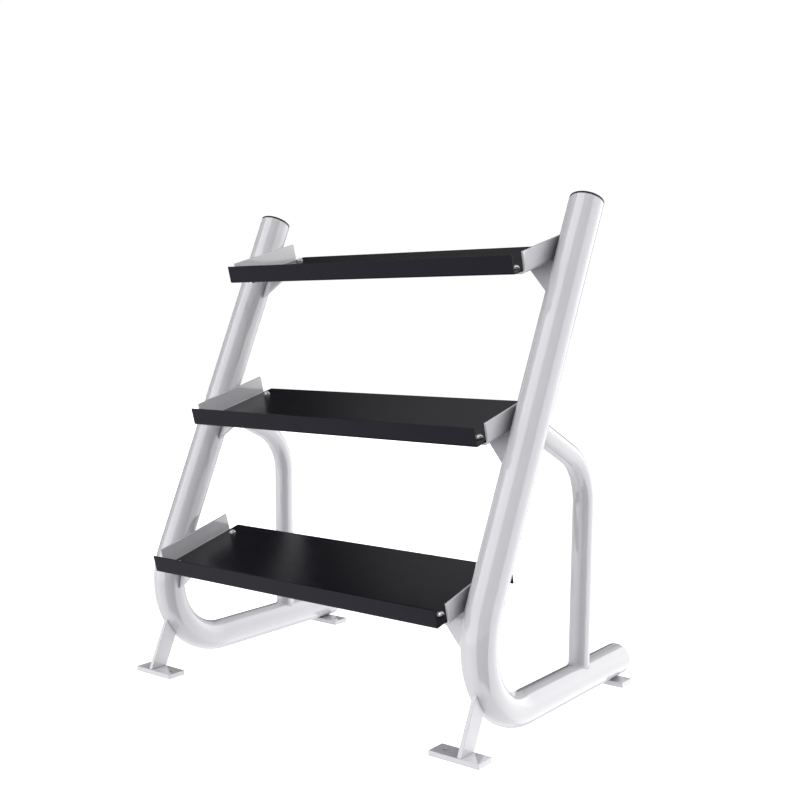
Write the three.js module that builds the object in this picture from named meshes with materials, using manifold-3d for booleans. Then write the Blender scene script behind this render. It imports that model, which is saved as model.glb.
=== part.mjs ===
// Three-tier dumbbell rack: two bent-tube side frames joined by three sloping steel trays.
// Millimetres. +X is the right-hand end, +Y the back and +Z up. The origin is on the floor in
// the middle of the rack's footprint.
//
// The side view (y, z) is laid out from the centre of the main tube's bend, and the finished
// rack is shifted along Y at the end so that the origin lies under the middle of its depth.

import * as THREE from 'three';
import { mergeVertices } from 'three/addons/utils/BufferGeometryUtils.js';
import Module from 'manifold-3d';

const wasm = await Module();
wasm.setup();

// ---- Driving dimensions -------------------------------------------------------------------

const GAP = 0.3; // left between pieces that touch
const RIGHT = 1;
const LEFT = -1;
const { degToRad } = THREE.MathUtils;

const TUBE_SIDES = 24;
const BEND_STEP = degToRad(8);

// Side frame: one tube runs along the floor, bends up at the front and leans back.
const FRAME_X = 461.1; // centre plane of each side frame
const LEAN = degToRad(25.1);
const MAIN_RADIUS = 38;
const MAIN_WALL = 3;
const MAIN_BEND_RADIUS = 174.7;
const BASE_LENGTH = 446.5;
const UPRIGHT_LENGTH = 914;

// Rear brace: a thinner tube, square to the upright, bent down onto the base.
const BRACE_RADIUS = 24.15;
const BRACE_WALL = 2.5;
const BRACE_BEND_RADIUS = 134.5;
const BRACE_ALONG_UPRIGHT = 395.4;
const BRACE_Y = 251.7; // centre of the brace's vertical leg

// Feet.
const PLATE = { width: 121, depth: 50, thickness: 12, hole: 4.75 };
const PLATE_X = 448.5;
const PLATE_HOLE_X = 411.5;
const FRONT_PLATE_Y = -221;
const REAR_PLATE_Y = 409;
const STRUT = { width: 44, thickness: 10, footY: -219, reach: 115 };

// End caps.
const TOP_CAP = { flange: 4, plugLength: 22, wall: 2.5, edge: 1 };
const REAR_CAP = { radius: 36, flange: 3, plugLength: 22, wall: 2.5, edge: 1 };

// Trays: folded sheet with a lip turned up in front and a flange turned down behind.
const TRAY_TILT = degToRad(15);
const TRAY = { halfLength: 413, depth: 290, lip: 41.7, rearFlange: 37, sheet: 3, bend: 5 };
const TIER_RISE = { y: 133.3, z: 347.6 };
const TOP_TRAY_CORNER = { y: 12.4, z: 963.7 };
const TIERS = ['top', 'middle', 'bottom'];

// End brackets: angle plates between the tubes and the trays, and the gussets under them.
const BRACKET = { front: 30.7, length: 230, rise: 42.7, width: 80, sheet: 5, bend: 9 };
const GUSSET = { leg: 85.5, thickness: 6 };

// M8 fasteners through the tray floor and the bracket flange.
const BOLT_X = 388;
const BOLT_ALONG = { front: 51, rear: 241 };
const BOLT = { radius: 4, hole: 4.5, head: 5.3, acrossFlats: 13, washer: 8.5, washerThickness: 1.6 };
const NUT = { height: 6.5, clearance: 0.3, threadBelow: 3 };

// ---- Materials ----------------------------------------------------------------------------

const whitePaint = new THREE.MeshStandardMaterial({ color: 0xe9eaee, roughness: 0.25, metalness: 0 });
const blackPaint = new THREE.MeshStandardMaterial({ color: 0x232327, roughness: 0.5, metalness: 0 });
const blackPlastic = new THREE.MeshStandardMaterial({ color: 0x17171a, roughness: 0.55, metalness: 0 });
const zincSteel = new THREE.MeshStandardMaterial({ color: 0xc9cbd0, roughness: 0.3, metalness: 1 });

// ---- Derived layout in the side view --------------------------------------------------------

const PLATE_TOP = PLATE.thickness + GAP;
const BASE_AXIS_Z = PLATE_TOP + MAIN_RADIUS;
const BEND_CENTRE = new THREE.Vector2(0, BASE_AXIS_Z + MAIN_BEND_RADIUS);
const UPRIGHT_HEADING = Math.PI / 2 - LEAN;
const BRACE_HEADING = -LEAN;
const UPRIGHT_START = mainBendPoint(UPRIGHT_HEADING);

// Unit vector in the side view, its heading measured from +Y towards +Z.
function headingVector(heading) {
  return new THREE.Vector2(Math.cos(heading), Math.sin(heading));
}

// Point on the axis of the main bend where the tube has the given heading.
function mainBendPoint(heading) {
  return BEND_CENTRE.clone().addScaledVector(headingVector(heading + Math.PI / 2), MAIN_BEND_RADIUS);
}

function alongUpright(distance) {
  return UPRIGHT_START.clone().addScaledVector(headingVector(UPRIGHT_HEADING), distance);
}

// ---- Tubes ----------------------------------------------------------------------------------

// Curve given by a tube's own stations: both ends, and the even steps of its bend.
class StationPath extends THREE.Curve {
  constructor(stations) {
    super();
    this.stations = stations;
  }

  stationAt(u) {
    return this.stations[Math.round(u * (this.stations.length - 1))];
  }

  getPointAt(u, target = new THREE.Vector3()) {
    return target.copy(this.stationAt(u).point);
  }

  getTangentAt(u, target = new THREE.Vector3()) {
    return target.copy(this.stationAt(u).tangent);
  }
}

// Straight, bend, straight in the plane x; a negative turn bends clockwise in the side view.
function bentPath({ x, start, heading, first, radius, turn, last }) {
  const stations = [];
  const addStation = (place, direction) => {
    const tangent = headingVector(direction);
    stations.push({
      point: new THREE.Vector3(x, place.x, place.y),
      tangent: new THREE.Vector3(0, tangent.x, tangent.y),
    });
  };
  const side = Math.sign(turn) * Math.PI / 2;
  const bendStart = start.clone().addScaledVector(headingVector(heading), first);
  const centre = bendStart.clone().addScaledVector(headingVector(heading + side), radius);
  const steps = Math.ceil(Math.abs(turn) / BEND_STEP);
  addStation(start, heading);
  for (let i = 0; i <= steps; i += 1) {
    const direction = heading + turn * i / steps;
    addStation(centre.clone().addScaledVector(headingVector(direction - side), radius), direction);
  }
  const bendEnd = centre.clone().addScaledVector(headingVector(heading + turn - side), radius);
  addStation(bendEnd.addScaledVector(headingVector(heading + turn), last), heading + turn);
  return new StationPath(stations);
}

function roundSection(outer, inner = 0) {
  const section = new THREE.Shape();
  section.absarc(0, 0, outer, 0, 2 * Math.PI, false);
  if (inner > 0) {
    const bore = new THREE.Path();
    bore.absarc(0, 0, inner, 0, 2 * Math.PI, true);
    section.holes.push(bore);
  }
  return section;
}

function sweep(section, path) {
  return new THREE.ExtrudeGeometry(section, {
    steps: path.stations.length - 1,
    extrudePath: path,
    curveSegments: TUBE_SIDES / 2,
  });
}

function mainPath(side) {
  return bentPath({
    x: side * FRAME_X,
    start: new THREE.Vector2(BASE_LENGTH, BASE_AXIS_Z),
    heading: Math.PI,
    first: BASE_LENGTH,
    radius: MAIN_BEND_RADIUS,
    turn: UPRIGHT_HEADING - Math.PI,
    last: UPRIGHT_LENGTH,
  });
}

function mainTube(side) {
  return sweep(roundSection(MAIN_RADIUS, MAIN_RADIUS - MAIN_WALL), mainPath(side));
}

// Solid that clears the main tube, cut from every piece welded to it.
function mainTubeCutter(side) {
  return toSolid(sweep(roundSection(MAIN_RADIUS + GAP), mainPath(side)));
}

function rearBrace(side) {
  const start = alongUpright(BRACE_ALONG_UPRIGHT);
  const turn = -Math.PI / 2 - BRACE_HEADING;
  const tangentLength = BRACE_BEND_RADIUS * Math.tan(Math.abs(turn) / 2);
  const toCorner = (BRACE_Y - start.x) / Math.cos(BRACE_HEADING);
  const cornerZ = start.y + toCorner * Math.sin(BRACE_HEADING);
  const path = bentPath({
    x: side * FRAME_X,
    start,
    heading: BRACE_HEADING,
    first: toCorner - tangentLength,
    radius: BRACE_BEND_RADIUS,
    turn,
    last: cornerZ - tangentLength - BASE_AXIS_Z,
  });
  const tube = toSolid(sweep(roundSection(BRACE_RADIUS, BRACE_RADIUS - BRACE_WALL), path));
  return toGeometry(tube.subtract(mainTubeCutter(side)));
}

// ---- Solids and plates ----------------------------------------------------------------------

function toSolid(geometry) {
  const bare = geometry.clone();
  bare.deleteAttribute('normal');
  bare.deleteAttribute('uv');
  const merged = mergeVertices(bare);
  return new wasm.Manifold(new wasm.Mesh({
    numProp: 3,
    vertProperties: new Float32Array(merged.attributes.position.array),
    triVerts: new Uint32Array(merged.index.array),
  }));
}

function toGeometry(solid) {
  const { vertProperties, triVerts } = solid.getMesh();
  const geometry = new THREE.BufferGeometry();
  geometry.setAttribute('position', new THREE.BufferAttribute(vertProperties, 3));
  geometry.setIndex(new THREE.BufferAttribute(triVerts, 1));
  geometry.computeVertexNormals();
  return geometry;
}

function outline(points) {
  return new THREE.Shape(points.map(([x, y]) => new THREE.Vector2(x, y)));
}

function plate(shape, thickness, curveSegments = 8) {
  return new THREE.ExtrudeGeometry(shape, { depth: thickness, bevelEnabled: false, curveSegments });
}

// Plate whose outline is given in the side view (y, z), centred on the plane x.
function sidePlate(shape, thickness, x, curveSegments) {
  const toSideView = new THREE.Matrix4().makeBasis(
    new THREE.Vector3(0, 1, 0),
    new THREE.Vector3(0, 0, 1),
    new THREE.Vector3(1, 0, 0),
  );
  return plate(shape, thickness, curveSegments)
    .translate(0, 0, -thickness / 2)
    .applyMatrix4(toSideView)
    .translate(x, 0, 0);
}

function drill(radius, x, y, fromZ, toZ) {
  const sides = 16;
  return toSolid(new THREE.CylinderGeometry(radius, radius, toZ - fromZ, sides)
    .rotateX(Math.PI / 2)
    .translate(x, y, (fromZ + toZ) / 2));
}

// ---- Feet and caps --------------------------------------------------------------------------

function footPlate(side, y) {
  const halfWidth = PLATE.width / 2;
  const halfDepth = PLATE.depth / 2;
  const shape = outline([
    [-halfWidth, -halfDepth], [halfWidth, -halfDepth], [halfWidth, halfDepth], [-halfWidth, halfDepth],
  ]);
  const hole = new THREE.Path();
  hole.absarc(side * (PLATE_HOLE_X - PLATE_X), 0, PLATE.hole, 0, 2 * Math.PI, true);
  shape.holes.push(hole);
  return plate(shape, PLATE.thickness).translate(side * PLATE_X, y, 0);
}

// Flat bar from the front foot plate, parallel to the upright, shaped to the underside of the bend.
function frontStrut(side) {
  const lean = headingVector(UPRIGHT_HEADING);
  const halfFoot = STRUT.width / 2 / lean.y;
  const rise = STRUT.reach * lean.y;
  const shift = STRUT.reach * lean.x;
  const shape = outline([
    [STRUT.footY - halfFoot, PLATE_TOP],
    [STRUT.footY + halfFoot, PLATE_TOP],
    [STRUT.footY + halfFoot + shift, PLATE_TOP + rise],
    [STRUT.footY - halfFoot + shift, PLATE_TOP + rise],
  ]);
  const bar = toSolid(sidePlate(shape, STRUT.thickness, side * FRAME_X));
  return toGeometry(bar.subtract(mainTubeCutter(side)));
}

// Flanged plug on +Z: the flange's underside is at z = GAP and the hollow plug hangs below it.
function capGeometry(radius, flange, plugRadius, plugLength, wall, edge) {
  const top = GAP + flange;
  const profile = [
    [0, GAP - wall], [plugRadius - wall, GAP - wall], [plugRadius - wall, -plugLength],
    [plugRadius, -plugLength], [plugRadius, GAP], [radius, GAP], [radius, top - edge],
    [radius - edge, top], [0, top],
  ];
  const points = profile.map(([r, z]) => new THREE.Vector2(r, z));
  return new THREE.LatheGeometry(points, TUBE_SIDES).rotateX(Math.PI / 2);
}

// ---- Trays, brackets and fasteners, in a tray's own frame -----------------------------------
// Here y runs back along the tray's floor, z is square to it, and the origin is the underside's
// front edge, below the lip.

function traySection() {
  const { depth, lip, rearFlange, sheet, bend } = TRAY;
  const inner = bend - sheet;
  const shape = new THREE.Shape();
  shape.moveTo(0, lip);
  shape.lineTo(0, bend);
  shape.absarc(bend, bend, bend, Math.PI, 1.5 * Math.PI, false);
  shape.absarc(depth - bend, -inner, inner, Math.PI / 2, 0, true);
  shape.lineTo(depth - sheet, -rearFlange);
  shape.lineTo(depth, -rearFlange);
  shape.absarc(depth - bend, -inner, bend, 0, Math.PI / 2, false);
  shape.absarc(bend, bend, inner, 1.5 * Math.PI, Math.PI, true);
  shape.lineTo(sheet, lip);
  return shape;
}

function tray() {
  const bendSteps = 3;
  let sheet = toSolid(sidePlate(traySection(), 2 * TRAY.halfLength, 0, bendSteps));
  for (const x of [-BOLT_X, BOLT_X]) {
    for (const y of Object.values(BOLT_ALONG)) {
      sheet = sheet.subtract(drill(BOLT.hole, x, y, -TRAY.sheet, 2 * TRAY.sheet));
    }
  }
  return toGeometry(sheet);
}

function bracket(side) {
  const outer = FRAME_X - MAIN_RADIUS - GAP;
  const { front, length, rise, width, sheet, bend } = BRACKET;
  const low = -GAP - sheet;
  const inner = bend - sheet;
  const centreX = side * (outer - bend);
  const centreZ = low + bend;
  const across = side === RIGHT ? 0 : Math.PI;
  const shape = new THREE.Shape();
  shape.moveTo(side * outer, rise);
  shape.lineTo(side * outer, centreZ);
  shape.absarc(centreX, centreZ, bend, across, 1.5 * Math.PI, side === RIGHT);
  shape.lineTo(side * (outer - width), low);
  shape.lineTo(side * (outer - width), low + sheet);
  shape.absarc(centreX, centreZ, inner, 1.5 * Math.PI, across, side === LEFT);
  shape.lineTo(side * (outer - sheet), rise);
  const bendSteps = 3;
  const angle = plate(shape, length, bendSteps).rotateX(Math.PI / 2).translate(0, front + length, 0);
  let solid = toSolid(angle);
  for (const y of Object.values(BOLT_ALONG)) {
    solid = solid.subtract(drill(BOLT.hole, side * BOLT_X, y, low - sheet, sheet));
  }
  return toGeometry(solid);
}

function hexagonRadius() {
  return BOLT.acrossFlats / Math.sqrt(3);
}

// Height of what sits under a bracket's flange: the nuts and the gussets.
function underFlange() {
  return -2 * GAP - BRACKET.sheet;
}

// Hexagon bolt with its washer, standing on the tray's floor.
function bolt() {
  const washerBottom = TRAY.sheet + GAP;
  const headBottom = washerBottom + BOLT.washerThickness;
  const shankEnd = underFlange() - NUT.height - NUT.threadBelow;
  const hexSides = 6;
  const washerSides = 24;
  const shankSides = 16;
  const pieces = [
    [hexagonRadius(), headBottom, headBottom + BOLT.head, hexSides],
    [BOLT.washer, washerBottom, headBottom, washerSides],
    [BOLT.radius, shankEnd, headBottom + BOLT.head / 2, shankSides],
  ];
  const [head, washer, shank] = pieces.map(([radius, low, high, sides]) => toSolid(
    new THREE.CylinderGeometry(radius, radius, high - low, sides)
      .rotateX(Math.PI / 2)
      .translate(0, 0, (low + high) / 2),
  ));
  return toGeometry(head.add(washer).add(shank));
}

function nut() {
  const corners = Array.from({ length: 6 }, (_, i) => {
    const corner = headingVector(i * Math.PI / 3).multiplyScalar(hexagonRadius());
    return [corner.x, corner.y];
  });
  const shape = outline(corners);
  const bore = new THREE.Path();
  bore.absarc(0, 0, BOLT.radius + NUT.clearance, 0, 2 * Math.PI, true);
  shape.holes.push(bore);
  return plate(shape, NUT.height).translate(0, 0, underFlange() - NUT.height);
}

// ---- Gussets --------------------------------------------------------------------------------

function trayCorner(tier) {
  return new THREE.Vector2(TOP_TRAY_CORNER.y - tier * TIER_RISE.y, TOP_TRAY_CORNER.z - tier * TIER_RISE.z);
}

// Distance along the upright's axis to where it crosses a tray's underside plane.
function trayCrossing(tier) {
  const up = headingVector(TRAY_TILT + Math.PI / 2);
  const toTray = trayCorner(tier).sub(UPRIGHT_START);
  return toTray.dot(up) / headingVector(UPRIGHT_HEADING).dot(up);
}

// Point on the main tube's axis at a distance along it from the end of the bend, on either side.
function alongMainTube(distance) {
  if (distance >= 0) {
    return alongUpright(distance);
  }
  return mainBendPoint(UPRIGHT_HEADING - distance / MAIN_BEND_RADIUS);
}

// Triangle between a bracket's flange and the tube below it, in a plane through the tube's axis.
function gusset(side, tier) {
  const crossing = trayCrossing(tier);
  const root = alongMainTube(crossing);
  const axis = root.clone().sub(alongMainTube(crossing - GUSSET.leg)).normalize();
  const tubeSide = FRAME_X - MAIN_RADIUS;
  const above = 20;
  const intoTube = 16;
  const shape = outline([
    [tubeSide - GUSSET.leg - above, above],
    [tubeSide + intoTube, above],
    [tubeSide + intoTube, -GUSSET.leg - intoTube],
  ].map(([x, along]) => [side * x, along]));
  const frame = new THREE.Matrix4().makeBasis(
    new THREE.Vector3(1, 0, 0),
    new THREE.Vector3(0, axis.x, axis.y),
    new THREE.Vector3(0, -axis.y, axis.x),
  ).setPosition(0, root.x, root.y);
  const triangle = plate(shape, GUSSET.thickness)
    .translate(0, 0, -GUSSET.thickness / 2)
    .applyMatrix4(frame);
  const block = 200;
  const aboveFlange = new THREE.BoxGeometry(2 * FRAME_X + block, 2 * block, block)
    .translate(0, 0, block / 2 + underFlange())
    .rotateX(TRAY_TILT)
    .translate(0, root.x, root.y);
  return toGeometry(toSolid(triangle).subtract(toSolid(aboveFlange)).subtract(mainTubeCutter(side)));
}

// ---- Assembly -------------------------------------------------------------------------------

const rack = new THREE.Group();

function addMesh(group, name, geometry, material) {
  const mesh = new THREE.Mesh(geometry, material);
  mesh.name = name;
  group.add(mesh);
  return mesh;
}

function addSideFrame(side, end) {
  addMesh(rack, `side_tube_${end}`, mainTube(side), whitePaint);
  addMesh(rack, `rear_brace_${end}`, rearBrace(side), whitePaint);
  addMesh(rack, `front_strut_${end}`, frontStrut(side), whitePaint);
  addMesh(rack, `front_foot_plate_${end}`, footPlate(side, FRONT_PLATE_Y), whitePaint);
  addMesh(rack, `rear_foot_plate_${end}`, footPlate(side, REAR_PLATE_Y), whitePaint);

  const plugRadius = MAIN_RADIUS - MAIN_WALL - GAP;
  const { flange, plugLength, wall, edge } = TOP_CAP;
  const topCap = addMesh(rack, `top_cap_${end}`,
    capGeometry(MAIN_RADIUS, flange, plugRadius, plugLength, wall, edge), blackPlastic);
  const top = alongUpright(UPRIGHT_LENGTH);
  topCap.position.set(side * FRAME_X, top.x, top.y);
  topCap.rotation.x = -LEAN;

  const rearCap = addMesh(rack, `rear_cap_${end}`, capGeometry(REAR_CAP.radius, REAR_CAP.flange,
    plugRadius, REAR_CAP.plugLength, REAR_CAP.wall, REAR_CAP.edge), blackPlastic);
  rearCap.position.set(side * FRAME_X, BASE_LENGTH, BASE_AXIS_Z);
  rearCap.rotation.x = -Math.PI / 2;
}

function addShelf(tierName, tier) {
  const shelf = new THREE.Group();
  const corner = trayCorner(tier);
  shelf.position.set(0, corner.x, corner.y);
  shelf.rotation.x = TRAY_TILT;
  rack.add(shelf);
  addMesh(shelf, `tray_${tierName}`, tray(), blackPaint);
  for (const [end, side] of [['right', RIGHT], ['left', LEFT]]) {
    addMesh(shelf, `bracket_${tierName}_${end}`, bracket(side), whitePaint);
    addMesh(rack, `gusset_${tierName}_${end}`, gusset(side, tier), whitePaint);
    for (const [place, along] of Object.entries(BOLT_ALONG)) {
      const suffix = `${tierName}_${end}_${place}`;
      addMesh(shelf, `bolt_${suffix}`, bolt(), zincSteel).position.set(side * BOLT_X, along, 0);
      addMesh(shelf, `nut_${suffix}`, nut(), zincSteel).position.set(side * BOLT_X, along, 0);
    }
  }
}

addSideFrame(RIGHT, 'right');
addSideFrame(LEFT, 'left');
TIERS.forEach(addShelf);

// Centre the footprint: the front is the top of the lowest lip, the back the rear caps' faces.
const lowestLip = trayCorner(TIERS.length - 1).x - TRAY.lip * Math.sin(TRAY_TILT);
const rearFace = BASE_LENGTH + GAP + REAR_CAP.flange;
rack.position.y = -(lowestLip + rearFace) / 2;

export default rack;
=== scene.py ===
"""Looks of the three-tier dumbbell rack: glossy white tube frames, satin black trays, zinc bolts.

Metres, in the frame's own axes: +X is the right-hand end, +Y the back, +Z up. Places come from
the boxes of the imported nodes. The sizes below are the design's, and those of the finer details.
"""

import math

import bmesh
import bpy
from mathutils import Matrix, Vector


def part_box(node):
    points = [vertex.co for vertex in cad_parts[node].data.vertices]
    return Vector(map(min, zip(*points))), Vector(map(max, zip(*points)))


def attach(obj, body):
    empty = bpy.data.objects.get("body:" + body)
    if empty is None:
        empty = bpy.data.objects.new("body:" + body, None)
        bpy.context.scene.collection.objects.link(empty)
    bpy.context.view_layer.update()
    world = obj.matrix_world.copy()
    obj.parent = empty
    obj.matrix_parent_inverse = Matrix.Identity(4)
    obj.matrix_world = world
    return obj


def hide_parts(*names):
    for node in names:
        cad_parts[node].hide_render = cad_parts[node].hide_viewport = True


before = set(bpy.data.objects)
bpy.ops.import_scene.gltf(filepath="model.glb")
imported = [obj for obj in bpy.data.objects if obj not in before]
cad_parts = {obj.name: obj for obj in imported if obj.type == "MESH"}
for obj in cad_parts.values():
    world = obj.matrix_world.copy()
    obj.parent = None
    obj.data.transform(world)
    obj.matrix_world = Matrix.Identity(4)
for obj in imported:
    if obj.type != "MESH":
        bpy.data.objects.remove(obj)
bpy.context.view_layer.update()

# ---- Sizes --------------------------------------------------------------------------------

SIDES = {"right": 1, "left": -1}
TIERS = ("top", "middle", "bottom")

LEAN = math.radians(25.1)
TUBE_WALL = 0.003
BEND_RADIUS = 0.1747
BASE_LENGTH = 0.4465
UPRIGHT_LENGTH = 0.914
RIM = 0.002

BRACE_WALL = 0.0025
BRACE_BEND_RADIUS = 0.1345
BRACE_ALONG_UPRIGHT = 0.3954
SADDLE_CLEARANCE = 0.002

STRUT_WIDTH = 0.044
STRUT_FOOT_SHIFT = 0.002
FOOT_HOLE_RADIUS = 0.00475
FOOT_HOLE_INSET = 0.0235
FOOT_COLLAR_RADIUS = 1.8 * FOOT_HOLE_RADIUS
SHADE_DISC_RADIUS = 0.00465
SHADE_DISC_RAISE = 0.0004

CAP_FLANGE = 0.004
CAP_CROWN = 0.0006
CAP_EDGE = 0.0012
CAP_WALL = 0.0025
PLUG_LENGTH = 0.022
PLUG_CLEARANCE = 0.0002
PLUG_CHAMFER = 0.001

TILT = math.radians(15)
TRAY_DEPTH = 0.290
TRAY_LIP = 0.0417
TRAY_FLANGE = 0.037
TRAY_SHEET = 0.003
TRAY_BEND = 0.005

BRACKET_FRONT = 0.0307
BRACKET_LENGTH = 0.230
BRACKET_RISE = 0.0427
BRACKET_SHEET = 0.005
BRACKET_BEND = 0.009
GUSSET_LEG = 0.0855
GUSSET_THICKNESS = 0.006
GUSSET_TIP = 0.002
BOLTED_GAP = 0.0003
UNDER_FLANGE = -BOLTED_GAP - BRACKET_SHEET

WELD_GAP = 0.0022
GUSSET_WELD_RADIUS = 0.0022
BRACE_WELD_RADIUS = 0.0026
WELD_RIPPLE_LENGTH = 0.0032
WELD_RIPPLE_HEIGHT = 0.07
WELD_END_WIDTH = 0.15
WELD_END_TAPER = 12
WELD_SIDES = 10

BOLT_ALONG = {"front": 0.051, "rear": 0.241}
HALF_HEXAGON = 0.0065
HEAD_HEIGHT = 0.0054
HEAD_DOME = 0.0030
NUT_HEIGHT = 0.0065
NUT_CLEARANCE = 0.0002
NUT_FACE_SHARE = 0.97
NUT_CONE = math.radians(30)
SHANK_RADIUS = 0.004
SHANK_CHAMFER = 0.0008
WASHER_RADIUS = 0.0085
WASHER_THICKNESS = 0.0016
WASHER_EDGE = 0.0003
WASHER_CLEARANCE = 0.0004
THREAD_BELOW_NUT = 0.0012

SHARP_EDGE = math.radians(32)
BEVELLED_EDGE = math.radians(40)
TUBE_SIDES = 128
HEXAGON_POINTS = 96
HOLE_POINTS = 48
BEND_STEP = math.radians(1.5)
FLOOR_HALF_WIDTH = 8.0

EDGE_ROUNDING = {
    "foot": 0.0009,
    "strut": 0.0007,
    "tray": 0.0004,
    "bracket": 0.0008,
    "gusset": 0.0006,
}

# ---- Places, from the frame ---------------------------------------------------------------

tube_low, tube_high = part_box("side_tube_right")
brace_low, brace_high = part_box("rear_brace_right")
FRAME_X = (tube_low.x + tube_high.x) / 2
TUBE_RADIUS = (tube_high.x - tube_low.x) / 2
BRACE_RADIUS = (brace_high.x - brace_low.x) / 2
BASE_Z = tube_low.z + TUBE_RADIUS
BASE_REAR_Y = tube_high.y
BRACE_Y = brace_high.y - BRACE_RADIUS
UP = math.pi / 2 - LEAN


def heading_vector(heading):
    """Unit vector in a side frame's plane, its heading measured from +Y towards +Z."""
    return Vector((0.0, math.cos(heading), math.sin(heading)))


class BentPath:
    """Axis of a tube: straight, one bend, straight, all in a plane of constant x."""

    def __init__(self, start, heading, first, radius, turn, last):
        self.start, self.heading, self.first = start, heading, first
        self.radius, self.turn, self.last = radius, turn, last
        self.arc = abs(turn) * radius
        self.length = first + self.arc + last
        self.side = math.copysign(math.pi / 2, turn)
        self.bend_start = start + first * heading_vector(heading)
        self.centre = self.bend_start + radius * heading_vector(heading + self.side)

    def at(self, distance):
        """Point on the axis and its heading at a distance from the start."""
        if distance <= self.first:
            return self.start + distance * heading_vector(self.heading), self.heading
        bent = min(distance - self.first, self.arc)
        heading = self.heading + math.copysign(bent / self.radius, self.turn)
        point = self.centre + self.radius * heading_vector(heading - self.side)
        rest = max(0.0, distance - self.first - self.arc)
        return point + rest * heading_vector(heading), heading

    def distances(self, low, high):
        """Stations from low to high: the ends, the bend's limits and its even steps."""
        steps = math.ceil(abs(self.turn) / BEND_STEP)
        inner = [self.first + self.arc * i / steps for i in range(steps + 1)]
        return [low] + [d for d in inner if low < d < high] + [high]


def main_path(side):
    """From the base tube's rear end, forwards and up to the upright's top."""
    start = Vector((side * FRAME_X, BASE_REAR_Y, BASE_Z))
    return BentPath(start, math.pi, BASE_LENGTH, BEND_RADIUS, UP - math.pi, UPRIGHT_LENGTH)


def upright_point(side, distance):
    """Point on the main tube's axis, at a distance up the upright from the end of the bend."""
    path = main_path(side)
    return path.at(path.first + path.arc + distance)[0]


def brace_path(side):
    """From the upright's axis to the base tube's axis."""
    start = upright_point(side, BRACE_ALONG_UPRIGHT)
    turn = LEAN - math.pi / 2
    tangent = BRACE_BEND_RADIUS * math.tan(-turn / 2)
    to_corner = (BRACE_Y - start.y) / math.cos(LEAN)
    corner_z = start.z - to_corner * math.sin(LEAN)
    last = corner_z - tangent - BASE_Z
    return BentPath(start, -LEAN, to_corner - tangent, BRACE_BEND_RADIUS, turn, last)


def tray_corner(tier):
    """Underside's front edge of a tray, below the lip."""
    low, _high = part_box(f"tray_{tier}")
    y = low.y + TRAY_LIP * math.sin(TILT)
    z = low.z - TRAY_BEND * (math.sin(TILT) + math.cos(TILT) - 1)
    return Vector((0.0, y, z))


def tray_matrix(tier):
    """A tray's own frame: y back along its floor, z square to it."""
    return Matrix.Translation(tray_corner(tier)) @ Matrix.Rotation(TILT, 4, "X")


# ---- Mesh helpers -------------------------------------------------------------------------


def ring(centre, across, up, radius, sides):
    """Points of a circle in the plane of two unit vectors."""
    angles = [2 * math.pi * i / sides for i in range(sides)]
    return [centre + radius * (math.cos(a) * across + math.sin(a) * up) for a in angles]


def loft(rings, closed=False):
    """Skin over rings of equal length; open ends are closed with flat faces."""
    sides = len(rings[0])
    points = [p for one in rings for p in one]
    spans = len(rings) if closed else len(rings) - 1
    faces = []
    for r in range(spans):
        low = r * sides
        high = (r + 1) % len(rings) * sides
        for i in range(sides):
            j = (i + 1) % sides
            faces.append((low + i, low + j, high + j, high + i))
    if not closed:
        faces.append(tuple(range(sides))[::-1])
        faces.append(tuple(range(len(points) - sides, len(points))))
    return mesh_from(points, faces)


def mesh_from(points, faces):
    """Mesh whose faces all point outwards."""
    mesh = bpy.data.meshes.new("mesh")
    mesh.from_pydata([tuple(p) for p in points], [], faces)
    work = bmesh.new()
    work.from_mesh(mesh)
    bmesh.ops.recalc_face_normals(work, faces=work.faces)
    work.to_mesh(mesh)
    work.free()
    return mesh


def revolve(profile, centre, axis):
    """Solid of revolution: profile pairs are (radius, height along the axis)."""
    across = axis.orthogonal().normalized()
    up = axis.cross(across)
    least = 1e-5
    rings = [ring(centre + h * axis, across, up, max(r, least), TUBE_SIDES) for r, h in profile]
    return loft(rings)


def arc_points(cx, cy, radius, start, end, steps=8):
    """Points on an arc in a plane, both ends included."""
    angles = [start + (end - start) * i / steps for i in range(steps + 1)]
    return [(cx + radius * math.cos(a), cy + radius * math.sin(a)) for a in angles]


def circle_points(cx, cy, radius):
    """Points all round a circle in a plane, none twice."""
    return arc_points(cx, cy, radius, 0, 2 * math.pi, HOLE_POINTS)[:-1]


def prism(front, back):
    """Solid between two outlines of equal length."""
    return loft([front, back])


def holed_plate(outline, collar, hole, low_z, high_z):
    """Flat plate with one hole, in a collar of even faces so that the hole's rim bevels."""
    work = bmesh.new()
    loops = [[work.verts.new((x, y, low_z)) for x, y in loop] for loop in (outline, collar, hole)]
    for verts in loops[:2]:
        for a, b in zip(verts, verts[1:] + verts[:1]):
            work.edges.new((a, b))
    filled = bmesh.ops.triangle_fill(work, edges=work.edges[:], use_beauty=True)
    faces = [f for f in filled["geom"] if isinstance(f, bmesh.types.BMFace)]
    outer, inner = loops[1:]
    for i in range(len(outer)):
        j = (i + 1) % len(outer)
        faces.append(work.faces.new((outer[i], outer[j], inner[j], inner[i])))
    raised = bmesh.ops.extrude_face_region(work, geom=faces)["geom"]
    top = [v for v in raised if isinstance(v, bmesh.types.BMVert)]
    bmesh.ops.translate(work, verts=top, vec=(0, 0, high_z - low_z))
    bmesh.ops.recalc_face_normals(work, faces=work.faces)
    mesh = bpy.data.meshes.new("mesh")
    work.to_mesh(mesh)
    work.free()
    return mesh


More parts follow.
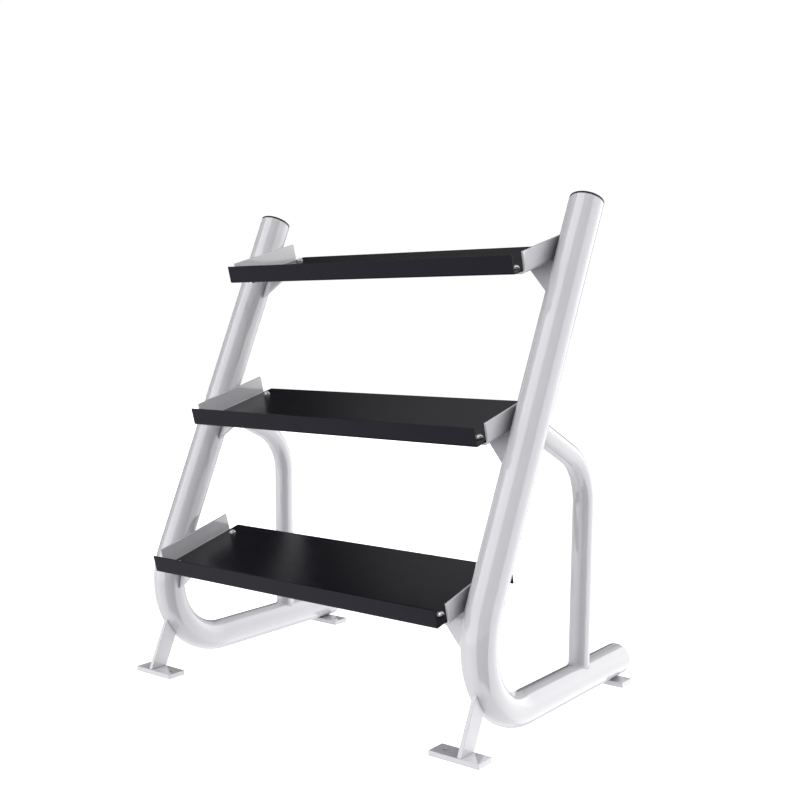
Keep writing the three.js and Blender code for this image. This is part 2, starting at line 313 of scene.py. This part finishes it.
def add_piece(name, mesh, material, nodes=(), bevel=0.0):
    """Puts a piece on the rack's one body, its edges rounded by the bevel, in place of nodes."""
    mesh.name = name
    mesh.materials.append(material)
    mesh.shade_smooth()
    mesh.set_sharp_from_angle(angle=SHARP_EDGE)
    piece = bpy.data.objects.new(name, mesh)
    bpy.context.scene.collection.objects.link(piece)
    if bevel:
        rounding = piece.modifiers.new("rounded edges", "BEVEL")
        rounding.width = bevel
        rounding.segments = 3
        rounding.limit_method = "ANGLE"
        rounding.angle_limit = BEVELLED_EDGE
        rounding.harden_normals = True
    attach(piece, "root")
    if nodes:
        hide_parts(*nodes)
    return piece


# ---- Materials ----------------------------------------------------------------------------


def new_material(name, slot):
    material = bpy.data.materials.new(name)
    material.use_nodes = True
    material["slot"] = slot
    tree = material.node_tree
    shader = tree.nodes["Principled BSDF"]
    place = tree.nodes.new("ShaderNodeTexCoord").outputs["Object"]
    return material, tree, shader, place


def noise_node(tree, place, scale, detail):
    node = tree.nodes.new("ShaderNodeTexNoise")
    node.inputs["Scale"].default_value = scale
    node.inputs["Detail"].default_value = detail
    tree.links.new(place, node.inputs["Vector"])
    return node.outputs["Fac"]


def span(tree, value, low, high, start=0.3, end=0.7):
    """Maps a value, such as a noise's, that runs from start to end to the range low to high."""
    node = tree.nodes.new("ShaderNodeMapRange")
    node.inputs["From Min"].default_value = start
    node.inputs["From Max"].default_value = end
    node.inputs["To Min"].default_value = low
    node.inputs["To Max"].default_value = high
    tree.links.new(value, node.inputs["Value"])
    return node.outputs["Result"]


def blend_colours(tree, factor, one, other):
    node = tree.nodes.new("ShaderNodeMix")
    node.data_type = "RGBA"
    node.inputs["A"].default_value = (*one, 1)
    node.inputs["B"].default_value = (*other, 1)
    tree.links.new(factor, node.inputs["Factor"])
    return node.outputs["Result"]


def openness(tree, distance):
    """1 on open surfaces, lower in corners and holes."""
    node = tree.nodes.new("ShaderNodeAmbientOcclusion")
    node.samples = 8
    node.inputs["Distance"].default_value = distance
    return node.outputs["AO"]


def shade_colour(tree, colour, amount):
    """Multiplies a colour by a grey amount."""
    node = tree.nodes.new("ShaderNodeVectorMath")
    node.operation = "SCALE"
    tree.links.new(colour, node.inputs[0])
    tree.links.new(amount, node.inputs["Scale"])
    return node.outputs["Vector"]


def bump(tree, shader, height, strength, distance):
    node = tree.nodes.new("ShaderNodeBump")
    node.inputs["Strength"].default_value = strength
    node.inputs["Distance"].default_value = distance
    tree.links.new(height, node.inputs["Height"])
    tree.links.new(node.outputs["Normal"], shader.inputs["Normal"])


def white_paint(name, painted_shade_reach, darkest_painted_shade):
    """Glossy powder coat, cool white, with painted shade that darkens its colour in corners, and
    the faintest orange peel.
    """
    material, tree, shader, place = new_material(name, "white_paint")
    tone = span(tree, noise_node(tree, place, 7.0, 3.0), 0.0, 1.0)
    colour = blend_colours(tree, tone, (0.622, 0.614, 0.648), (0.638, 0.630, 0.664))
    # Painted shade: ambient occlusion darkens the base colour in corners, holes and next to other
    # parts.
    corners = span(tree, openness(tree, painted_shade_reach), darkest_painted_shade, 1.0, 0.2, 0.95)
    tree.links.new(shade_colour(tree, colour, corners), shader.inputs["Base Color"])
    rough = span(tree, noise_node(tree, place, 30.0, 4.0), 0.05, 0.08)
    tree.links.new(rough, shader.inputs["Roughness"])
    shader.inputs["Coat Weight"].default_value = 1.0
    shader.inputs["Coat Roughness"].default_value = 0.03
    shader.inputs["Coat IOR"].default_value = 1.6
    bump(tree, shader, noise_node(tree, place, 260.0, 1.0), 0.02, 0.0003)
    return material


def black_paint():
    """Smooth semi-gloss powder coat with a fine grain."""
    material, tree, shader, place = new_material("black powder coat", "black_paint")
    tone = span(tree, noise_node(tree, place, 6.0, 3.0), 0.0, 1.0)
    colour = blend_colours(tree, tone, (0.0040, 0.0039, 0.0068), (0.0050, 0.0049, 0.0080))
    tree.links.new(colour, shader.inputs["Base Color"])
    rough = span(tree, noise_node(tree, place, 25.0, 3.0), 0.24, 0.27)
    tree.links.new(rough, shader.inputs["Roughness"])
    shader.inputs["Specular IOR Level"].default_value = 0.16
    shader.inputs["Specular Tint"].default_value = (0.98, 0.94, 1.18, 1)
    bump(tree, shader, noise_node(tree, place, 700.0, 2.0), 0.03, 0.0002)
    return material


def black_plastic():
    """Moulded plastic with a light spark grain."""
    material, tree, shader, place = new_material("moulded black plastic", "black_plastic")
    tone = span(tree, noise_node(tree, place, 30.0, 3.0), 0.0, 1.0)
    colour = blend_colours(tree, tone, (0.0040, 0.0040, 0.0050), (0.0065, 0.0065, 0.0075))
    tree.links.new(colour, shader.inputs["Base Color"])
    rough = span(tree, noise_node(tree, place, 120.0, 3.0), 0.42, 0.56)
    tree.links.new(rough, shader.inputs["Roughness"])
    shader.inputs["Specular IOR Level"].default_value = 0.3
    bump(tree, shader, noise_node(tree, place, 1600.0, 2.0), 0.25, 0.0002)
    return material


def zinc_plate():
    """Bright zinc on steel, a little uneven."""
    material, tree, shader, place = new_material("bright zinc", "zinc_steel")
    tone = span(tree, noise_node(tree, place, 260.0, 4.0), 0.0, 1.0)
    colour = blend_colours(tree, tone, (0.88, 0.88, 0.90), (0.97, 0.97, 0.98))
    tree.links.new(colour, shader.inputs["Base Color"])
    rough = span(tree, noise_node(tree, place, 500.0, 4.0), 0.14, 0.22)
    tree.links.new(rough, shader.inputs["Roughness"])
    shader.inputs["Metallic"].default_value = 0.85
    bump(tree, shader, noise_node(tree, place, 1500.0, 3.0), 0.1, 0.0002)
    return material


def painted_hole_shade():
    """Near-black colour for the painted shade at the bottom of an anchor hole."""
    material, tree, shader, place = new_material("painted anchor hole shade", "floor")
    tone = span(tree, noise_node(tree, place, 300.0, 3.0), 0.0, 1.0)
    colour = blend_colours(tree, tone, (0.015, 0.015, 0.017), (0.030, 0.030, 0.033))
    tree.links.new(colour, shader.inputs["Base Color"])
    shader.inputs["Roughness"].default_value = 0.9
    shader.inputs["Specular IOR Level"].default_value = 0.1
    return material


# Both coats paint shade into corners; the second reaches further and paints it darker, for the
# right-hand brackets beside the tubes.
WHITE = white_paint("white powder coat", 0.03, 0.8)
DEEP_SHADE_WHITE = white_paint("white powder coat with deeper painted shade", 0.07, 0.4)
BLACK = black_paint()
PLASTIC = black_plastic()
ZINC = zinc_plate()

# ---- Tubes --------------------------------------------------------------------------------

ACROSS = Vector((1.0, 0.0, 0.0))


def in_plane_normal(heading):
    """Unit vector square to a heading, in a side frame's plane."""
    return heading_vector(heading + math.pi / 2)


def tube_ring(path, distance, radius):
    point, heading = path.at(distance)
    return ring(point, ACROSS, in_plane_normal(heading), radius, TUBE_SIDES)


def main_tube(side):
    """Hollow tube whose cut ends have softened rims."""
    path = main_path(side)
    inner = TUBE_RADIUS - TUBE_WALL
    stations = path.distances(RIM, path.length - RIM)
    steps = [(0.0, TUBE_RADIUS - RIM)]
    steps += [(d, TUBE_RADIUS) for d in stations]
    steps += [(path.length, TUBE_RADIUS - RIM), (path.length, inner + RIM)]
    steps += [(d, inner) for d in reversed(stations)]
    steps += [(0.0, inner + RIM)]
    return loft([tube_ring(path, d, r) for d, r in steps], closed=True)


def saddle_ring(path, radius, at_end):
    """Ring of a tube of that radius where it meets the main tube, which its axis crosses."""
    point, heading = path.at(path.length if at_end else 0.0)
    along = heading_vector(heading) * (-1 if at_end else 1)
    flat = ring(point, ACROSS, in_plane_normal(heading), radius, TUBE_SIDES)
    return [p + along * math.sqrt(TUBE_RADIUS**2 - (p.x - point.x) ** 2) for p in flat]


def brace_tube(side):
    """Hollow brace with both ends shaped to the tubes they are welded to."""
    path = brace_path(side)
    inner = BRACE_RADIUS - BRACE_WALL
    clear = TUBE_RADIUS + SADDLE_CLEARANCE
    stations = path.distances(clear, path.length - clear)
    rings = [saddle_ring(path, BRACE_RADIUS, False)]
    rings += [tube_ring(path, d, BRACE_RADIUS) for d in stations]
    rings += [saddle_ring(path, BRACE_RADIUS, True), saddle_ring(path, inner, True)]
    rings += [tube_ring(path, d, inner) for d in reversed(stations)]
    rings += [saddle_ring(path, inner, False)]
    return loft(rings, closed=True)


def weld_bead(points, radius, closed=False):
    """Painted weld along a line, with the low ripples that a weld leaves and tapered ends."""
    count = len(points)
    rings = []
    travelled = 0.0
    for i, point in enumerate(points):
        before = points[i - 1] if i or closed else point
        after = points[(i + 1) % count] if i < count - 1 or closed else point
        tangent = (after - before).normalized()
        across = tangent.orthogonal().normalized()
        travelled += (point - points[i - 1]).length if i else 0.0
        swell = 1 + WELD_RIPPLE_HEIGHT * math.sin(2 * math.pi * travelled / WELD_RIPPLE_LENGTH)
        end = 1.0
        if not closed:
            from_end = min(i, count - 1 - i) / max(1, count - 1)
            end = math.sqrt(min(1.0, WELD_END_WIDTH + from_end * WELD_END_TAPER))
        rings.append(ring(point, across, tangent.cross(across), radius * swell * end, WELD_SIDES))
    return align_and_loft(rings, closed)


def align_and_loft(rings, closed):
    """Turns each ring's numbering to match its neighbour's before skinning them."""
    for i in range(1, len(rings)):
        sides = len(rings[i])
        first = rings[i - 1][0]
        best = min(range(sides), key=lambda k: (rings[i][k] - first).length)
        rings[i] = rings[i][best:] + rings[i][:best]
    return loft(rings, closed)


def line_points(start, end, pitch=0.0008):
    count = max(2, int((end - start).length / pitch))
    return [start.lerp(end, i / count) for i in range(count + 1)]


def add_side_frame(end, side):
    add_piece(f"main_tube_{end}", main_tube(side), WHITE, [f"side_tube_{end}"])
    add_piece(f"brace_tube_{end}", brace_tube(side), WHITE, [f"rear_brace_{end}"])
    path = brace_path(side)
    for place, at_end in (("upper", False), ("lower", True)):
        seam = saddle_ring(path, BRACE_RADIUS, at_end)
        weld = weld_bead(seam, BRACE_WELD_RADIUS, closed=True)
        add_piece(f"weld_brace_{place}_{end}", weld, WHITE)


for end_name, side_sign in SIDES.items():
    add_side_frame(end_name, side_sign)

# ---- Feet ---------------------------------------------------------------------------------


def anchor_spot(end, side, place):
    """Middle of a foot plate's anchor hole, at the plate's underside."""
    low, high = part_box(f"{place}_foot_plate_{end}")
    inner_x = low.x if side > 0 else high.x
    return inner_x + side * FOOT_HOLE_INSET, (low.y + high.y) / 2, low.z


def add_foot_plate(end, side, place):
    node = f"{place}_foot_plate_{end}"
    low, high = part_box(node)
    outline = [(low.x, low.y), (high.x, low.y), (high.x, high.y), (low.x, high.y)]
    hole_x, hole_y, _low_z = anchor_spot(end, side, place)
    collar = circle_points(hole_x, hole_y, FOOT_COLLAR_RADIUS)
    hole = circle_points(hole_x, hole_y, FOOT_HOLE_RADIUS)
    mesh = holed_plate(outline, collar, hole, low.z, high.z)
    add_piece(f"{place}_foot_{end}", mesh, WHITE, [node], EDGE_ROUNDING["foot"])


def add_strut(end, side):
    """Flat bar whose top follows the underside of the tube's bend."""
    node = f"front_strut_{end}"
    low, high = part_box(node)
    plate_low, plate_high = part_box(f"front_foot_plate_{end}")
    foot = Vector((0, (plate_low.y + plate_high.y) / 2 + STRUT_FOOT_SHIFT, plate_high.z))
    rise = heading_vector(UP)
    half = STRUT_WIDTH / 2 / math.sin(UP)
    centre = main_path(side).centre
    outer = BEND_RADIUS + math.sqrt(TUBE_RADIUS**2 - ((high.x - low.x) / 2) ** 2)
    steps = 12
    top = []
    for i in range(steps + 1):
        start = foot + Vector((0, half - 2 * half * i / steps, 0))
        reach = start - Vector((0, centre.y, centre.z))
        along = reach.dot(rise)
        to_tube = -along - math.sqrt(along**2 - reach.length_squared + outer**2)
        top.append(start + rise * to_tube)
    profile = [foot - Vector((0, half, 0)), foot + Vector((0, half, 0))] + top
    front = [Vector((low.x, p.y, p.z)) for p in profile]
    back = [Vector((high.x, p.y, p.z)) for p in profile]
    add_piece(f"strut_{end}", prism(front, back), WHITE, [node], EDGE_ROUNDING["strut"])


for end_name, side_sign in SIDES.items():
    for place_name in ("front", "rear"):
        add_foot_plate(end_name, side_sign, place_name)
    add_strut(end_name, side_sign)

# ---- Caps ---------------------------------------------------------------------------------


def cap_profile(radius, flange, plug_radius):
    """From the flange's middle out and down the plug: a crowned disc over a hollow plug."""
    bore = plug_radius - CAP_WALL
    return [
        (0.0, flange + CAP_CROWN),
        (radius * 0.5, flange + CAP_CROWN * 0.75),
        *arc_points(radius - CAP_EDGE, flange - CAP_EDGE, CAP_EDGE, math.pi / 2, 0, 5),
        (radius, 0.0),
        (plug_radius, 0.0),
        (plug_radius, -PLUG_LENGTH + PLUG_CHAMFER),
        (plug_radius - PLUG_CHAMFER, -PLUG_LENGTH),
        (bore, -PLUG_LENGTH),
        (bore, -CAP_WALL),
        (0.0, -CAP_WALL),
    ]


def add_caps(end, side):
    plug_radius = TUBE_RADIUS - TUBE_WALL - PLUG_CLEARANCE
    top = upright_point(side, UPRIGHT_LENGTH)
    profile = cap_profile(TUBE_RADIUS, CAP_FLANGE, plug_radius)
    mesh = revolve(profile, top, heading_vector(UP))
    add_piece(f"upright_cap_{end}", mesh, PLASTIC, [f"top_cap_{end}"])
    low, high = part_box(f"rear_cap_{end}")
    rear = Vector((side * FRAME_X, BASE_REAR_Y, BASE_Z))
    radius = (high.x - low.x) / 2
    profile = cap_profile(radius, high.y - BASE_REAR_Y - CAP_CROWN, plug_radius)
    mesh = revolve(profile, rear, Vector((0.0, 1.0, 0.0)))
    add_piece(f"base_cap_{end}", mesh, PLASTIC, [f"rear_cap_{end}"])


for end_name, side_sign in SIDES.items():
    add_caps(end_name, side_sign)

# ---- Trays and brackets -------------------------------------------------------------------


def tray_outline():
    """The folded sheet's section: (along the floor, square to it)."""
    inner = TRAY_BEND - TRAY_SHEET
    back = TRAY_DEPTH - TRAY_BEND
    quarter = math.pi / 2
    return [
        (0.0, TRAY_LIP),
        *arc_points(TRAY_BEND, TRAY_BEND, TRAY_BEND, 2 * quarter, 3 * quarter),
        *arc_points(back, -inner, inner, quarter, 0),
        (TRAY_DEPTH - TRAY_SHEET, -TRAY_FLANGE),
        (TRAY_DEPTH, -TRAY_FLANGE),
        *arc_points(back, -inner, TRAY_BEND, 0, quarter),
        *arc_points(TRAY_BEND, TRAY_BEND, inner, 3 * quarter, 2 * quarter),
        (TRAY_SHEET, TRAY_LIP),
    ]


def add_tray(tier):
    node = f"tray_{tier}"
    low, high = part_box(node)
    place = tray_matrix(tier)
    front = [place @ Vector((low.x, y, z)) for y, z in tray_outline()]
    back = [place @ Vector((high.x, y, z)) for y, z in tray_outline()]
    add_piece(f"sheet_{node}", prism(front, back), BLACK, [node], EDGE_ROUNDING["tray"])


def bracket_outline(outer_x, inner_x, under):
    """Section of the right-hand angle plate: (x, square to the tray's floor)."""
    inner = BRACKET_BEND - BRACKET_SHEET
    cx = outer_x - BRACKET_BEND
    cz = under + BRACKET_BEND
    quarter = math.pi / 2
    return [
        (outer_x, BRACKET_RISE),
        *arc_points(cx, cz, BRACKET_BEND, 0, -quarter),
        (inner_x, under),
        (inner_x, under + BRACKET_SHEET),
        *arc_points(cx, cz, inner, -quarter, 0),
        (outer_x - BRACKET_SHEET, BRACKET_RISE),
    ]


def add_bracket(tier, end, side):
    node = f"bracket_{tier}_{end}"
    low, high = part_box(node)
    inner_x, outer_x = sorted((abs(low.x), abs(high.x)))
    place = tray_matrix(tier)
    outline = bracket_outline(outer_x, inner_x, UNDER_FLANGE)
    ends = []
    for y in (BRACKET_FRONT, BRACKET_FRONT + BRACKET_LENGTH):
        ends.append([place @ Vector((side * x, y, z)) for x, z in outline])
    # Right-hand brackets take the copy of the coat with deeper painted shade beside the tube.
    paint = DEEP_SHADE_WHITE if side > 0 else WHITE
    add_piece(f"end_{node}", prism(*ends), paint, [node], EDGE_ROUNDING["bracket"])


def add_gusset(tier, end, side):
    """Triangle from the bracket's flange down the inner side of the tube, welded at the back."""
    place = tray_matrix(tier)
    normal = place.to_3x3() @ Vector((0, 0, 1))
    corner = place.translation
    foot = upright_point(side, 0.0)
    crossing = (corner - foot).dot(normal) / heading_vector(UP).dot(normal)
    root = upright_point(side, crossing)
    tip = upright_point(side, crossing - GUSSET_LEG)
    axis = (root - tip).normalized()
    face = ACROSS.cross(axis).normalized()
    tube_side = side * (FRAME_X - TUBE_RADIUS - WELD_GAP)
    outlines = []
    for w in (-GUSSET_THICKNESS / 2, GUSSET_THICKNESS / 2):
        to_flange = corner + normal * UNDER_FLANGE - root - face * w
        at_flange = to_flange.dot(normal) / axis.dot(normal)
        corners = (
            (tube_side, at_flange),
            (tube_side, -GUSSET_LEG + GUSSET_TIP),
            (tube_side - side * GUSSET_TIP, -GUSSET_LEG + GUSSET_TIP),
            (tube_side - side * (GUSSET_LEG + at_flange), at_flange),
        )
        outlines.append([Vector((x, root.y, root.z)) + axis * s + face * w for x, s in corners])
    node = f"gusset_{tier}_{end}"
    add_piece(f"web_{node}", prism(*outlines), WHITE, [node], EDGE_ROUNDING["gusset"])
    toward_tube = ACROSS * side * WELD_GAP / 2
    seam = line_points(outlines[0][0] + toward_tube, outlines[0][1] + toward_tube)
    add_piece(f"weld_{node}", weld_bead(seam, GUSSET_WELD_RADIUS), WHITE)


# ---- Fasteners ----------------------------------------------------------------------------


def hexagon_reach(angle):
    """Distance from a hexagon's middle to its side in a direction."""
    sixth = math.pi / 3
    return HALF_HEXAGON / math.cos((angle % sixth) - sixth / 2)


def hexagon_level(place, height_at):
    """One ring of a hexagon, its height given for each distance from the middle."""
    angles = [2 * math.pi * i / HEXAGON_POINTS for i in range(HEXAGON_POINTS)]
    spots = [(hexagon_reach(a), a) for a in angles]
    return [place @ Vector((r * math.cos(a), r * math.sin(a), height_at(r))) for r, a in spots]


def disc_ring(place, radius, height):
    """One ring of a circle on the bolt's axis."""
    axes = place.to_3x3()
    centre = place @ Vector((0, 0, height))
    return ring(centre, axes @ ACROSS, axes @ Vector((0, 1, 0)), radius, HEXAGON_POINTS)


def nut_rings(place, low, high):
    """Rings of a hexagon prism whose corners are turned down to a cone at both ends."""
    slope = math.tan(NUT_CONE)
    flat = HALF_HEXAGON * NUT_FACE_SHARE
    return [
        disc_ring(place, flat, low),
        hexagon_level(place, lambda r: low + (r - flat) * slope),
        hexagon_level(place, lambda r: high - (r - flat) * slope),
        disc_ring(place, flat, high),
    ]


def head_rings(place, low, high):
    """Rings of a bolt's head, a low hexagon under a dome."""

    def dome(radius):
        return high - HEAD_DOME * (radius / HALF_HEXAGON) ** 2

    rings = [hexagon_level(place, lambda r: low), hexagon_level(place, dome)]
    for share in (0.9, 0.75, 0.6, 0.45, 0.3, 0.15, 0.05):
        rings.append(disc_ring(place, HALF_HEXAGON * share, dome(HALF_HEXAGON * share)))
    return rings


def add_fastener(tier, end, where):
    """Bolt and washer on the tray's floor, nut under the bracket's flange."""
    suffix = f"{tier}_{end}_{where}"
    low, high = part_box(f"bolt_{suffix}")
    spot = Vector(((low.x + high.x) / 2, BOLT_ALONG[where], 0))
    place = tray_matrix(tier) @ Matrix.Translation(spot)
    washer_low = TRAY_SHEET
    head_low = washer_low + WASHER_THICKNESS
    nut_high = UNDER_FLANGE
    nut_low = nut_high - NUT_HEIGHT
    shank_low = nut_low - THREAD_BELOW_NUT

    rings = head_rings(place, head_low, head_low + HEAD_HEIGHT)[::-1]
    rings += [disc_ring(place, SHANK_RADIUS, head_low)]
    rings += [disc_ring(place, SHANK_RADIUS, shank_low + SHANK_CHAMFER)]
    rings += [disc_ring(place, SHANK_RADIUS - SHANK_CHAMFER, shank_low)]
    add_piece(f"hex_bolt_{suffix}", loft(rings), ZINC, [f"bolt_{suffix}"])

    hole = SHANK_RADIUS + WASHER_CLEARANCE
    section = (
        (hole, washer_low),
        (WASHER_RADIUS - WASHER_EDGE, washer_low),
        (WASHER_RADIUS, washer_low + WASHER_EDGE),
        (WASHER_RADIUS, head_low - WASHER_EDGE),
        (WASHER_RADIUS - WASHER_EDGE, head_low),
        (hole, head_low),
    )
    rings = [disc_ring(place, r, h) for r, h in section]
    add_piece(f"washer_{suffix}", loft(rings, closed=True), ZINC)

    rings = nut_rings(place, nut_low, nut_high)
    bore = SHANK_RADIUS + NUT_CLEARANCE
    rings += [disc_ring(place, bore, nut_high), disc_ring(place, bore, nut_low)]
    add_piece(f"hex_nut_{suffix}", loft(rings, closed=True), ZINC, [f"nut_{suffix}"])


for tier_name in TIERS:
    add_tray(tier_name)
    for end_name, side_sign in SIDES.items():
        add_bracket(tier_name, end_name, side_sign)
        add_gusset(tier_name, end_name, side_sign)
        for where_name in BOLT_ALONG:
            add_fastener(tier_name, end_name, where_name)

# ---- Camera, light and floor --------------------------------------------------------------


def add_camera():
    azimuth = math.radians(38.381)
    pitch = math.radians(8.109)
    data = bpy.data.cameras.new("camera")
    data.sensor_width = 36.0
    data.lens = 50.155
    data.shift_x = 0.0370
    data.shift_y = 0.0999
    data.clip_end = 50.0
    camera = bpy.data.objects.new("camera", data)
    camera.location = (1.63235, -2.0966, 0.8695)
    camera.rotation_euler = (math.pi / 2 - pitch, 0.0, azimuth)
    bpy.context.scene.collection.objects.link(camera)
    bpy.context.scene.camera = camera


# Broad panels of light around the rack. Azimuth runs from the front towards the right-hand end.
# Each has its middle, half width, lowest and highest elevation in degrees, and its brightness.
LIGHT_PANELS = {
    "front left": (-20, 36, -10, 60, 1.85),
    "floor in front": (-20, 36, -48, -10, 1.25),
    "front right": (53, 36, -5, 60, 0.44),
    "right and behind": (134, 45, -48, 58, 1.7),
    "behind": (160, 20, 0, 58, 0.35),
    "behind on the left": (-158, 23, 25, 60, 0.47),
    "low behind on the left": (-166, 15, -3, 22, 0.45),
    "strip on the left": (-115, 15, -3, 20, 0.5),
    "floor on the left": (-117, 62, -48, -3, 0.85),
    "overhead": (0, 180, 60, 90, 0.6),
    "underneath": (0, 180, -90, -48, 1.2),
}
AMBIENT_LIGHT = 0.02
BACKDROP = 1.02
PANEL_EDGE = 1


def smooth_step(tree, value, low, high):
    """Rises smoothly from 0 at low to 1 at high."""
    node = tree.nodes.new("ShaderNodeMapRange")
    node.interpolation_type = "SMOOTHSTEP"
    node.inputs["From Min"].default_value = low
    node.inputs["From Max"].default_value = high
    tree.links.new(value, node.inputs["Value"])
    return node.outputs["Result"]


def combine(tree, operation, one, other):
    node = tree.nodes.new("ShaderNodeMath")
    node.operation = operation
    for socket, value in zip(node.inputs, (one, other)):
        if isinstance(value, (int, float)):
            socket.default_value = value
        else:
            tree.links.new(value, socket)
    return node.outputs["Value"]


def vector_step(tree, operation, value, other=None):
    node = tree.nodes.new("ShaderNodeVectorMath")
    node.operation = operation
    tree.links.new(value, node.inputs[0])
    if other:
        node.inputs[1].default_value = other
    return node.outputs["Value" if operation == "DOT_PRODUCT" else "Vector"]


def panel_light(tree, level, height, panel):
    """Brightness that one panel gives in a direction, with soft edges."""
    middle, half_width, lowest, highest, brightness = panel
    azimuth = math.radians(middle)
    facing = vector_step(tree, "DOT_PRODUCT", level, (math.sin(azimuth), -math.cos(azimuth), 0.0))
    outer = math.cos(math.radians(min(half_width + PANEL_EDGE, 180)))
    inner = math.cos(math.radians(half_width - PANEL_EDGE))
    inside = smooth_step(tree, facing, outer, inner) if half_width < 180 else 1.0
    for limit, sign in ((lowest, 1), (highest, -1)):
        if abs(limit) < 90:
            before = math.sin(math.radians(limit - sign * PANEL_EDGE))
            after = math.sin(math.radians(limit + sign * PANEL_EDGE))
            inside = combine(tree, "MULTIPLY", inside, smooth_step(tree, height, before, after))
    return combine(tree, "MULTIPLY", inside, brightness)


def add_world():
    """White as the camera sees it; for everything else, the panels in a dim studio."""
    world = bpy.data.worlds.new("studio")
    world.use_nodes = True
    bpy.context.scene.world = world
    tree = world.node_tree
    tree.nodes.clear()
    direction = tree.nodes.new("ShaderNodeTexCoord").outputs["Generated"]
    level = vector_step(tree, "NORMALIZE", vector_step(tree, "MULTIPLY", direction, (1, 1, 0)))
    height = vector_step(tree, "DOT_PRODUCT", direction, (0, 0, 1))
    total = AMBIENT_LIGHT
    for panel in LIGHT_PANELS.values():
        total = combine(tree, "ADD", total, panel_light(tree, level, height, panel))
    lit = tree.nodes.new("ShaderNodeBackground")
    tree.links.new(total, lit.inputs["Strength"])
    lit.inputs["Color"].default_value = (1, 1, 1, 1)
    seen = tree.nodes.new("ShaderNodeBackground")
    seen.inputs["Color"].default_value = (1, 1, 1, 1)
    seen.inputs["Strength"].default_value = BACKDROP
    rays = tree.nodes.new("ShaderNodeLightPath")
    mix = tree.nodes.new("ShaderNodeMixShader")
    tree.links.new(rays.outputs["Is Camera Ray"], mix.inputs["Fac"])
    tree.links.new(lit.outputs[0], mix.inputs[1])
    tree.links.new(seen.outputs[0], mix.inputs[2])
    output = tree.nodes.new("ShaderNodeOutputWorld")
    tree.links.new(mix.outputs[0], output.inputs["Surface"])


def add_floor():
    """Pale floor that only the camera sees: the light from below comes from the world."""
    half = FLOOR_HALF_WIDTH
    corners = [(-half, -half, 0), (half, -half, 0), (half, half, 0), (-half, half, 0)]
    mesh = mesh_from(corners, [(0, 1, 2, 3)])
    floor = bpy.data.objects.new("floor", mesh)
    bpy.context.scene.collection.objects.link(floor)
    floor.visible_diffuse = False
    floor.visible_glossy = False
    floor.visible_shadow = False
    material, tree, shader, place = new_material("pale floor", "floor")
    tone = span(tree, noise_node(tree, place, 2.0, 2.0), 0.0, 1.0)
    colour = blend_colours(tree, tone, (0.80, 0.80, 0.80), (0.82, 0.82, 0.82))
    tree.links.new(colour, shader.inputs["Base Color"])
    shader.inputs["Roughness"].default_value = 0.9
    shader.inputs["Specular IOR Level"].default_value = 0.0
    shader.inputs["Emission Color"].default_value = (1, 1, 1, 1)
    shader.inputs["Emission Strength"].default_value = BACKDROP
    mesh.materials.append(material)


def add_shade_disc(end, side, place):
    """Dark disc under a foot plate's anchor hole: painted shade there, which also stops the light
    from below.
    """
    x, y, low_z = anchor_spot(end, side, place)
    outline = circle_points(x, y, SHADE_DISC_RADIUS)
    points = [(px, py, low_z + SHADE_DISC_RAISE) for px, py in outline]
    mesh = mesh_from(points, [tuple(range(len(points)))])
    mesh.materials.append(SHADE_DISC_PAINT)
    hole = bpy.data.objects.new(f"anchor_shade_disc_{place}_{end}", mesh)
    bpy.context.scene.collection.objects.link(hole)


add_camera()
add_world()
add_floor()
# Dark discs of painted shade under the four anchor holes.
SHADE_DISC_PAINT = painted_hole_shade()
for end_name, side_sign in SIDES.items():
    for place_name in ("front", "rear"):
        add_shade_disc(end_name, side_sign, place_name)
bpy.context.scene.view_settings.view_transform = "Standard"
